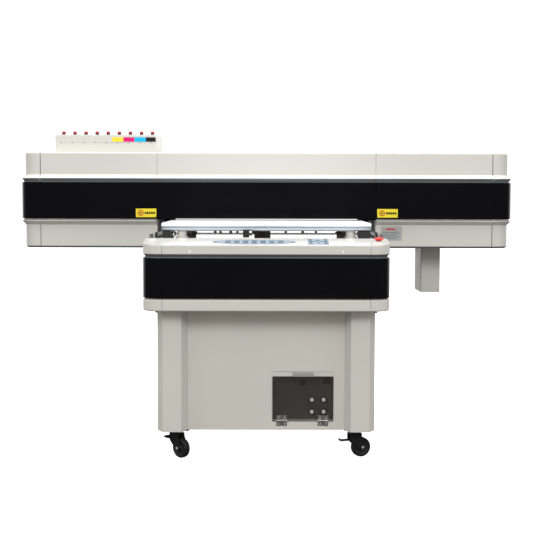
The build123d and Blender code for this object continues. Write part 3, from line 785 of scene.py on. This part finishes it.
@dataclass
class GantryLabels:
    """Generic warning and information labels on the gantry's covers."""

    band_y: float = 0.113
    cover_y: float = 0.130
    thickness: float = 0.0003
    yellow_spans: tuple[Pair, ...] = ((-0.595, -0.502), (0.505, 0.598))
    yellow_z: Pair = (0.961, 1.000)
    grey_x: Pair = (0.524, 0.620)
    grey_z: Pair = (0.855, 0.921)
    seam_x: float = 1.032
    seam_spans: tuple[Pair, ...] = ((0.827, 0.9255), (1.1555, 1.2495))

    def yellow(self, side: str, left: float, right: float) -> None:
        """A yellow label with a red ring and rows of plain bars."""
        low, high = self.yellow_z
        front = self.band_y - self.thickness
        plate = add_block("label_yellow_" + side, (left, front, low), (right, self.band_y, high))
        finish_piece(plate, "gantry", "film_yellow", slot="keypad_face")
        ring_at = Vector((left + 0.022, front, (low + high) / 2))
        ring = add_turned("label_ring_" + side, [(0.0135, 0.0), (0.0135, 0.0002)], 40)
        inset_faces(ring, facing((0, 0, 1)), 0.0042)
        open_slots(ring)
        paint_faces(ring, 1, lambda face: face.normal.z > 0.9 and len(face.vertices) > 4)
        finish_piece(set_down(ring, about(ring_at, (0, -1, 0))), "gantry", "film_red", "film_yellow",
                     slot="signal_red")
        x, z, reach = ring_at.x, ring_at.z, 0.0045
        marks = [self.mark(x - reach, x + reach, z - reach, z + reach, front)]
        for index in range(5):
            x = left + 0.040 + index * 0.0098
            marks.append(self.mark(x, x + 0.0076, z - 0.0052, z + 0.0052, front))
        finish_piece(joined("label_bars_" + side, marks), "gantry", "film_dark", slot="black_plastic")

    def mark(self, left: float, right: float, low: float, high: float, front: float) -> Object:
        """A thin printed bar on a label's face."""
        bar = add_block("mark", (left, front - 0.0002, low), (right, front, high))
        soften(bar, 0.0008, 1, 60)
        return bar

    def grey(self) -> None:
        """A grey label with a red title bar and plain lines of different lengths."""
        front = self.cover_y - self.thickness
        left, right = self.grey_x
        low, high = self.grey_z
        plate = add_block("label_grey", (left, front, low), (right, self.cover_y, high))
        finish_piece(plate, "gantry", "film_grey", slot="keypad_face")
        title = self.mark(left + 0.022, right - 0.030, high - 0.017, high - 0.010, front)
        title.name = "label_grey_title"
        finish_piece(title, "gantry", "film_red", slot="signal_red")
        lines = []
        for index, reach in enumerate((0.074, 0.080, 0.066, 0.078, 0.060)):
            z = high - 0.027 - index * 0.0075
            lines.append(self.mark(left + 0.008, left + 0.008 + reach, z - 0.0011, z + 0.0011, front))
        finish_piece(joined("label_grey_lines", lines), "gantry", "film_slate", slot="keypad_face")

    def gaskets(self) -> None:
        """Dark rubber strips in the seams of the end covers."""
        strips = []
        for x in (-self.seam_x, self.seam_x):
            for low, high in self.seam_spans:
                strip = add_block("gasket", (x - 0.0014, self.cover_y - 0.0003, low),
                                  (x + 0.0014, self.cover_y + 0.0002, high))
                soften(strip, 0.0001, 1)
                strips.append(strip)
        finish_piece(joined("cover_gaskets", strips), "gantry", "belt_rubber", slot="belt_rubber")

    def build(self) -> None:
        """Makes all the labels and the gaskets beside them."""
        for side, (left, right) in zip(("left", "right"), self.yellow_spans):
            self.yellow(side, left, right)
        self.grey()
        self.gaskets()


@dataclass
class InkSupply:
    """Filler caps, colour patches and sight dots of the ink tank box."""

    first_cap: float = -0.946
    pitch: float = 0.0517
    count: int = 9
    cap_y: float = 0.262
    cap_z: float = 1.3383
    cap_radius: float = 0.0086
    cap_height: float = 0.0187
    black_height: float = 0.0100
    cap_sides: int = 32
    front_y: float = 0.190
    groove_z: float = 1.303
    patch_z: Pair = (1.3065, 1.3268)
    patch_edges: tuple[float, ...] = (-0.712, -0.660, -0.609, -0.5565, -0.511)

    def caps(self) -> None:
        """Ribbed screw caps, black below and red above."""
        radius, split, top = self.cap_radius, self.black_height, self.cap_height
        cap = add_turned("cap", [(radius, 0.0), (radius, split), (radius * 0.95, split + 0.0008),
                                 (radius * 0.95, top - 0.0012), (radius * 0.82, top)], self.cap_sides)
        for low, high in ((0.0, split), (split + 0.0008, top - 0.0012)):
            middle = (low + high) / 2
            inset_faces(cap, lambda face: abs(face.calc_center_median().z - middle) < 0.0008
                        and abs(face.normal.z) < 0.5 and self.is_rib(face), 0.0003, 0.0005, each=True)
        palette.dress(cap, "black_plastic", "cap_red")
        paint_faces(cap, 1, lambda face: face.center.z > split + 0.0004)
        caps = []
        for index in range(self.count):
            place = Matrix.Translation((self.first_cap + index * self.pitch, self.cap_y, self.cap_z))
            caps.append(copy_of(cap, f"cap_{index}", place))
        bpy.data.objects.remove(cap)
        finish_piece(joined("filler_caps", caps), "gantry", "black_plastic", "cap_red", stands_for=["ink_caps"],
                     slot="cap_red")

    def is_rib(self, face: bmesh.types.BMFace) -> bool:
        """Whether a side face is one of every second round the cap."""
        centre = face.calc_center_median()
        step = math.degrees(math.atan2(centre.y, centre.x)) / (360.0 / self.cap_sides)
        return int(math.floor(step)) % 2 == 0

    def patches(self) -> None:
        """Colour patches on the tank box's front."""
        low, high = self.patch_z
        for index, name in enumerate(("ink_yellow", "ink_magenta", "ink_cyan", "ink_black")):
            left, right = self.patch_edges[index:index + 2]
            patch = add_block(name + "_patch", (left, self.front_y - 0.0004, low),
                              (right, self.front_y, high))
            soften(patch, 0.0001, 1)
            finish_piece(patch, "gantry", name, slot="keypad_face")

    def dots(self) -> None:
        """Small sight dots along the groove, one below each cap."""
        dots = []
        for index in range(self.count):
            dot = add_turned("dot", [(0.0024, -0.001), (0.0024, 0.0004), (0.0016, 0.0007)], 16)
            place = about((self.first_cap + index * self.pitch, self.front_y, self.groove_z), (0, -1, 0))
            dots.append(set_down(dot, place))
        finish_piece(joined("sight_dots", dots), "gantry", "film_slate", slot="black_plastic")

    def build(self) -> None:
        """Makes the ink supply's pieces."""
        self.caps()
        self.patches()
        self.dots()


@dataclass
class ControlDoor:
    """The smoked door, its screws, and the controls behind it."""

    pane_back: float = -0.5205
    pane_front: float = -0.5245
    pane_top: float = 0.333
    tab_x: float = 0.1495
    tab_tilt: float = 12.0
    buttons: tuple[Pair, ...] = (
        (0.186, 0.232), (0.234, 0.232), (0.186, 0.183), (0.234, 0.183))
    panel_y: float = -0.482
    knob_at: Pair = (0.1495, 0.3035)
    hinge_x: tuple[float, ...] = (0.063, 0.230)
    hinge_z: float = 0.1535

    def pane(self) -> None:
        """The door's clear sheet with eased edges and its frosted finger tab."""
        low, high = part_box("smoked_door")
        pane = add_block("pane", (low.x, self.pane_front, low.z), (high.x, self.pane_back, self.pane_top))
        soften(pane, 0.0008, 2)
        tab = add_block("tab", (-0.041, -0.002, -0.001), (0.041, 0.002, 0.0195))
        soften(tab, 0.0015, 3)
        tab.data.materials.clear()
        pane.data.materials.clear()
        for piece in (pane, tab):
            piece.data.materials.append(palette.made["smoked_acrylic"])
            piece.data.materials.append(palette.made["frosted_tab"])
        paint_faces(tab, 1, lambda face: True)
        middle = (self.pane_front + self.pane_back) / 2
        place = Matrix.Translation((self.tab_x, middle, self.pane_top - 0.001))
        set_down(tab, place @ Matrix.Rotation(math.radians(self.tab_tilt), 4, "X"))
        finish_piece(joined("door_pane", [pane, tab]), "door", "smoked_acrylic", "frosted_tab",
                     stands_for=["smoked_door"], slot="smoked_acrylic")

    def hinge_screws(self) -> None:
        """Countersunk screws in the hinges' leaves and straps."""
        for name, body, y, z in (("strap_screws", "door", -0.5260, self.hinge_z + 0.012),
                                 ("leaf_screws", "base", -0.5215, self.hinge_z - 0.014)):
            heads = []
            for x in self.hinge_x:
                for offset in (-0.012, 0.012):
                    head = add_turned("screw", [(0.0036, -0.0004), (0.0036, 0.0003), (0.0028, 0.0007)], 20)
                    sink_panel(head, 0.0012, 0.0006)
                    heads.append(set_down(head, about((x + offset, y, z), (0, -1, 0))))
            finish_piece(joined(name, heads), body, "ground_steel", slot="zinc")

    def push_buttons(self) -> None:
        """Domed push buttons with a ring turned into each, their caps given a painted glow so that they look
        brightly lit.
        """
        profile = [(0.0080, -0.0080), (0.0080, 0.0100), (0.0074, 0.0110), (0.0050, 0.0114), (0.0046, 0.0108),
                   (0.0030, 0.0108), (0.0026, 0.0114), (0.0010, 0.0116)]
        for index, (x, z) in enumerate(self.buttons, 1):
            cap = add_turned(f"push_button_{index}", profile, 36)
            soften(cap, 0.0002, 2, 40)
            finish_piece(set_down(cap, about((x, self.panel_y, z), (0, -1, 0))), f"button_{index}",
                         "button_cap_with_painted_glow", stands_for=[f"zone_button_{index}"], slot="bright_steel")

    def knob(self) -> None:
        """A fluted regulator knob with a pale pointer line."""
        knob = add_turned("regulator_knob", [(0.0050, -0.0090), (0.0050, 0.0020), (0.0110, 0.0020),
                                             (0.0110, 0.0150), (0.0098, 0.0185), (0.0070, 0.0190)], 36)
        inset_faces(knob, self.is_flute, 0.0003, 0.0008, each=True)
        soften(knob, 0.0003, 2, 35)
        x, z = self.knob_at
        finish_piece(set_down(knob, about((x, self.panel_y, z), (0, -1, 0))), "regulator", "knob_blue",
                     stands_for=["vacuum_regulator_knob"], slot="knob_blue")
        pointer = add_block("knob_pointer", (x - 0.0008, self.panel_y - 0.0195, z + 0.001),
                            (x + 0.0008, self.panel_y - 0.0185, z + 0.0068))
        soften(pointer, 0.0002, 1)
        finish_piece(pointer, "regulator", "plug_white", slot="knob_blue")

    @staticmethod
    def is_flute(face: bmesh.types.BMFace) -> bool:
        """Whether a face on the knob's grip is one of every second round it."""
        centre = face.calc_center_median().xy
        turn = math.degrees(math.atan2(*centre))
        return abs(face.normal.z) < 0.3 and centre.length > 0.010 and int(turn // 10) % 2 == 0

    def switch_frame(self) -> None:
        """The black frame round the main switch."""
        low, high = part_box("main_switch_rocker")
        margin = 0.0035
        ring = add_block("main_switch_frame", (low.x - margin, self.panel_y - 0.0022, low.z - margin),
                         (high.x + margin, self.panel_y, high.z + margin))
        select_faces(ring, lambda face: abs(face.normal.y) > 0.9)
        bpy.ops.mesh.inset(thickness=0.0028)
        bpy.ops.mesh.delete(type="FACE")
        bpy.ops.object.mode_set(mode="OBJECT")
        take(ring)
        bpy.ops.object.mode_set(mode="EDIT")
        bpy.ops.mesh.select_mode(type="EDGE")
        bpy.ops.mesh.select_all(action="DESELECT")
        bpy.ops.mesh.select_non_manifold()
        bpy.ops.mesh.bridge_edge_loops()
        bpy.ops.mesh.select_all(action="SELECT")
        bpy.ops.mesh.normals_make_consistent(inside=False)
        bpy.ops.object.mode_set(mode="OBJECT")
        soften(ring, 0.0004, 2)
        finish_piece(ring, "base", "black_plastic", slot="black_plastic")

    def build(self) -> None:
        """Makes the door and the controls."""
        self.pane()
        self.hinge_screws()
        self.push_buttons()
        self.knob()
        self.switch_frame()


@dataclass
class Caster:
    """One caster's wheel, its tread and hub, and the bright ends of its axle."""

    where: str
    carrier: str
    radius: float = 0.040
    width: float = 0.028
    nut_at: float = 0.0205

    def wheel(self) -> None:
        """A crowned rubber tread on a dished hub."""
        half, radius = self.width / 2, self.radius
        outer = [(0.0065, -half), (0.0130, -half), (0.0145, -half + 0.003), (0.0265, -half + 0.003),
                 (0.0285, -half), (radius - 0.0035, -half), (radius - 0.0008, -half + 0.0035),
                 (radius, -half + 0.009)]
        profile = outer + [(r, -z) for r, z in reversed(outer)]
        wheel = add_turned("wheel_" + self.where, profile, 56)
        open_slots(wheel)
        paint_faces(wheel, 1, lambda face: face.center.xy.length < 0.029)
        soften(wheel, 0.0005, 2, 25)
        joint = joint_named("roll_" + self.where)
        finish_piece(set_down(wheel, about(joint["pos_m"], joint["axis"])), "wheel_" + self.where,
                     "tread_rubber", "black_plastic", stands_for=["caster_wheel_" + self.where], slot="tread")

    def axle_ends(self) -> None:
        """A hexagon nut and a domed end, one each side of the fork."""
        joint = joint_named("roll_" + self.where)
        axis = Vector(joint["axis"])
        ends = []
        for side in (-1, 1):
            nut = add_turned("nut", [(0.0078, 0.0), (0.0078, 0.0040), (0.0066, 0.0050)], 6)
            tip = add_turned("tip", [(0.0040, 0.0045), (0.0040, 0.0058), (0.0030, 0.0064)], 20)
            end = joined("end", [nut, tip])
            soften(end, 0.0004, 2)
            ends.append(set_down(end, about(Vector(joint["pos_m"]) + axis * side * self.nut_at, axis * side)))
        finish_piece(joined("axle_ends_" + self.where, ends), self.carrier, "bright_steel", slot="bright_steel")

    def build(self) -> None:
        """Makes the caster's pieces."""
        self.wheel()
        self.axle_ends()


@dataclass
class CoverScrews:
    """Round-head screws that hold the rear covers."""

    radius: float = 0.0045
    gantry_x: tuple[float, ...] = (-1.09, -0.82, -0.53, 0.53, 0.82, 1.09)
    gantry_z: tuple[float, ...] = (0.840, 1.237)
    cabinet_x: tuple[float, ...] = (-0.303, 0.303)
    cabinet_y: float = 0.520
    cabinet_z: tuple[float, ...] = (0.135, 0.36, 0.585)
    table_x: tuple[float, ...] = (-0.46, 0.0, 0.46)
    table_y: float = 0.600
    table_z: tuple[float, ...] = (0.62, 0.869)

    def row(self, name: str, body: str, points: Sequence[Triple]) -> None:
        """Makes one joined set of screws, their heads to the rear.

        Args:
            name: the piece's name.
            body: the body that it rides on.
            points: where the heads sit.
        """
        screw = add_turned("screw", [(self.radius, -0.0005), (self.radius, 0.0006),
                                     (self.radius * 0.7, 0.0015)], 16)
        sink_panel(screw, self.radius * 0.3, 0.0008)
        heads = [copy_of(screw, f"head_{n}", about(point, (0, 1, 0))) for n, point in enumerate(points)]
        bpy.data.objects.remove(screw)
        finish_piece(joined(name, heads), body, "ground_steel", slot="zinc")

    def build(self) -> None:
        """Makes the screws of each cover."""
        covers = (("gantry", "gantry", self.gantry_x, cad_high.y - 0.0013, self.gantry_z),
                  ("cabinet", "base", self.cabinet_x, self.cabinet_y, self.cabinet_z),
                  ("table", "base", self.table_x, self.table_y, self.table_z))
        for cover, body, across, rear, heights in covers:
            self.row(cover + "_rear_screws", body, [(x, rear, z) for z in heights for x in across])


CAD_FINISHES = {
    "beige_coat": ("cabinet_corner_posts", "cabinet_front_panel", "cabinet_side_and_rear_panels",
                   "ink_tank_box", "waste_ink_box", "control_pocket", "bed_posts", "y_drive_mounts",
                   "estop_collar"),
    # The deck and console take the lighter copy of the beige coat as painted light.
    "deck_coat_with_painted_light": ("console_and_deck",),
    # These covers take the beige coat with its slate bands of painted shade.
    "beige_coat_with_painted_shade": ("table_shells", "gantry_left_cover", "gantry_right_cover", "gantry_rear_cover",
                               "front_lid"),
    "black_band": ("table_bands", "gantry_bands", "front_lid_band"),
    "frame_coat": ("base_frame", "gantry_frame", "cabinet_equipment"),
    "black_coat": ("caster_plates", "caster_fork_front_left", "caster_fork_front_right",
                   "brake_pedal_front_left", "brake_pedal_front_right"),
    "zinc_plate": ("door_hinge_leaves", "door_hinge_straps"),
    "ground_steel": ("x_rails", "y_rails", "y_drive_shaft", "x_drive_pulley", "x_idler_pulley",
                     "y_idler_pulleys", "carriage_slide", "x_motor_and_pins"),
    "belt_rubber": ("x_belt", "y_belts"),
    "black_plastic": ("bed_fittings", "bed_valve_lever", "button_bezels", "side_latch_knobs",
                      "print_head_block", "capping_tray"),
    "bed_face": ("bed_plate",),
    "switch_red": ("main_switch_rocker",),
}


def dress_cad() -> None:
    """Gives every CAD node that stays in sight its finish."""
    for finish, names in CAD_FINISHES.items():
        for name in names:
            palette.dress(frame["nodes"][name], finish)


# ---- studio ---------------------------------------------------------------------
@dataclass
class Studio:
    """Plain pale floor, soft lights and the camera."""

    eye: Triple = (0.0, -5.020, 1.056)
    pitch: float = 3.56
    roll: float = -0.12
    lens: float = 76.0
    ahead: float = 0.10
    above: float = 0.9
    behind: float = 1.5

    def camera(self) -> None:
        """The camera, level with the machine's upper half."""
        data = bpy.data.cameras.new("camera")
        data.lens = self.lens
        data.sensor_width = 36.0
        view = bpy.data.objects.new("camera", data)
        bpy.context.scene.collection.objects.link(view)
        view.location = self.eye
        view.rotation_euler = (math.radians(90.0 - self.pitch), math.radians(self.roll), 0.0)
        bpy.context.scene.camera = view

    def lamp(self, name: str, at: Triple, aim: Triple, size: Pair, watts: float) -> Object:
        """A rectangular soft light.

        Args:
            name: the lamp's name.
            at: where it hangs.
            aim: the point it faces.
            size: its width and height.
            watts: its power.

        Returns:
            The lamp.
        """
        data = bpy.data.lights.new(name, "AREA")
        data.shape = "RECTANGLE"
        data.size, data.size_y = size
        data.energy = watts
        lamp = bpy.data.objects.new(name, data)
        bpy.context.scene.collection.objects.link(lamp)
        lamp.location = at
        lamp.rotation_euler = (Vector(aim) - Vector(at)).to_track_quat("-Z", "Y").to_euler()
        return lamp

    def sky(self) -> None:
        """White backdrop, with a soft room that is bright above and dim below."""
        world = bpy.data.worlds.new("room")
        bpy.context.scene.world = world
        world.use_nodes = True
        graph = Graph(world.node_tree)
        way = graph.add("SeparateXYZ", Vector=graph.add("TexCoord").outputs["Generated"])
        upper, rear, lit = (
            graph.add("MapRange", Value=way.outputs[axis], From_Min=start, From_Max=end, To_Min=low,
                      To_Max=high).outputs[0]
            for axis, start, end, low, high in (
                ("Z", 0.0, 0.8, self.ahead, self.above), ("Y", 0.3, 0.8, 0.0, self.behind),
                ("Z", -0.25, -0.02, 0.0, 1.0)))
        strength = graph.maths("MAXIMUM", upper, graph.maths("MULTIPLY", rear, lit))
        room = graph.add("Background", Color=(1.0, 0.995, 0.98, 1.0), Strength=strength)
        backdrop = graph.add("Background", Color=(1.0, 1.0, 1.0, 1.0), Strength=1.2)
        blend = graph.add("MixShader")
        sources = (graph.add("LightPath").outputs["Is Camera Ray"], room.outputs[0], backdrop.outputs[0])
        for index, source in enumerate(sources):
            graph.feed(blend, index, source)
        graph.feed(graph.add("OutputWorld"), 0, blend.outputs[0])

    def floor(self) -> None:
        """A plain pale floor."""
        clear_selection()
        bpy.ops.mesh.primitive_plane_add(size=40.0, location=(0, 0, 0))
        floor = named("floor")
        sheet = Sheet("pale_floor")
        sheet.set(Base_Color=(0.9, 0.9, 0.9, 1.0), Roughness=0.9, Emission_Color=(1.0, 1.0, 1.0, 1.0),
                  Emission_Strength=1.0)
        floor.data.materials.append(sheet.material)
        floor.visible_diffuse = False
        floor.visible_glossy = False

    def build(self) -> None:
        """Sets up the studio."""
        self.camera()
        self.sky()
        self.floor()
        self.lamp("overhead", (0.0, -0.2, 4.2), (0.0, -0.1, 0.8), (5.0, 2.6), 170.0)
        self.lamp("front_left", (-2.6, -5.6, 4.4), (-0.2, 0.0, 0.6), (2.8, 2.2), 118.0)
        self.lamp("front_right", (2.6, -5.6, 4.4), (0.2, 0.0, 0.6), (2.8, 2.2), 118.0)
        fill = self.lamp("low_fill", (0.0, -4.0, 0.5), (0.0, -0.5, 0.4), (3.0, 0.8), 18.0)
        fill.data.color = (1.0, 0.88, 0.72)
        fill.visible_glossy = False
        for side, x in (("left", -4.6), ("right", 4.6)):
            fill = self.lamp("side_fill_" + side, (x, -2.6, 1.4), (0.0, 0.0, 0.8), (2.2, 2.2), 42.0)
            fill.visible_glossy = False
        bpy.context.scene.view_settings.view_transform = "Standard"
        log.info("studio ready")


def main() -> None:
    """Builds every sub-assembly in order."""
    palette.mix()
    dress_cad()
    casters = [Caster("front_left", "fork_front_left"), Caster("front_right", "fork_front_right"),
               Caster("rear_left", "base"), Caster("rear_right", "base")]
    for part in (Console(), VacuumBed(), GantryLabels(), InkSupply(), ControlDoor(), *casters, CoverScrews()):
        part.build()
        log.info("finished %s", type(part).__name__)
    Studio().build()


if __name__ == "__main__":
    logging.basicConfig(level=logging.INFO)
    main()
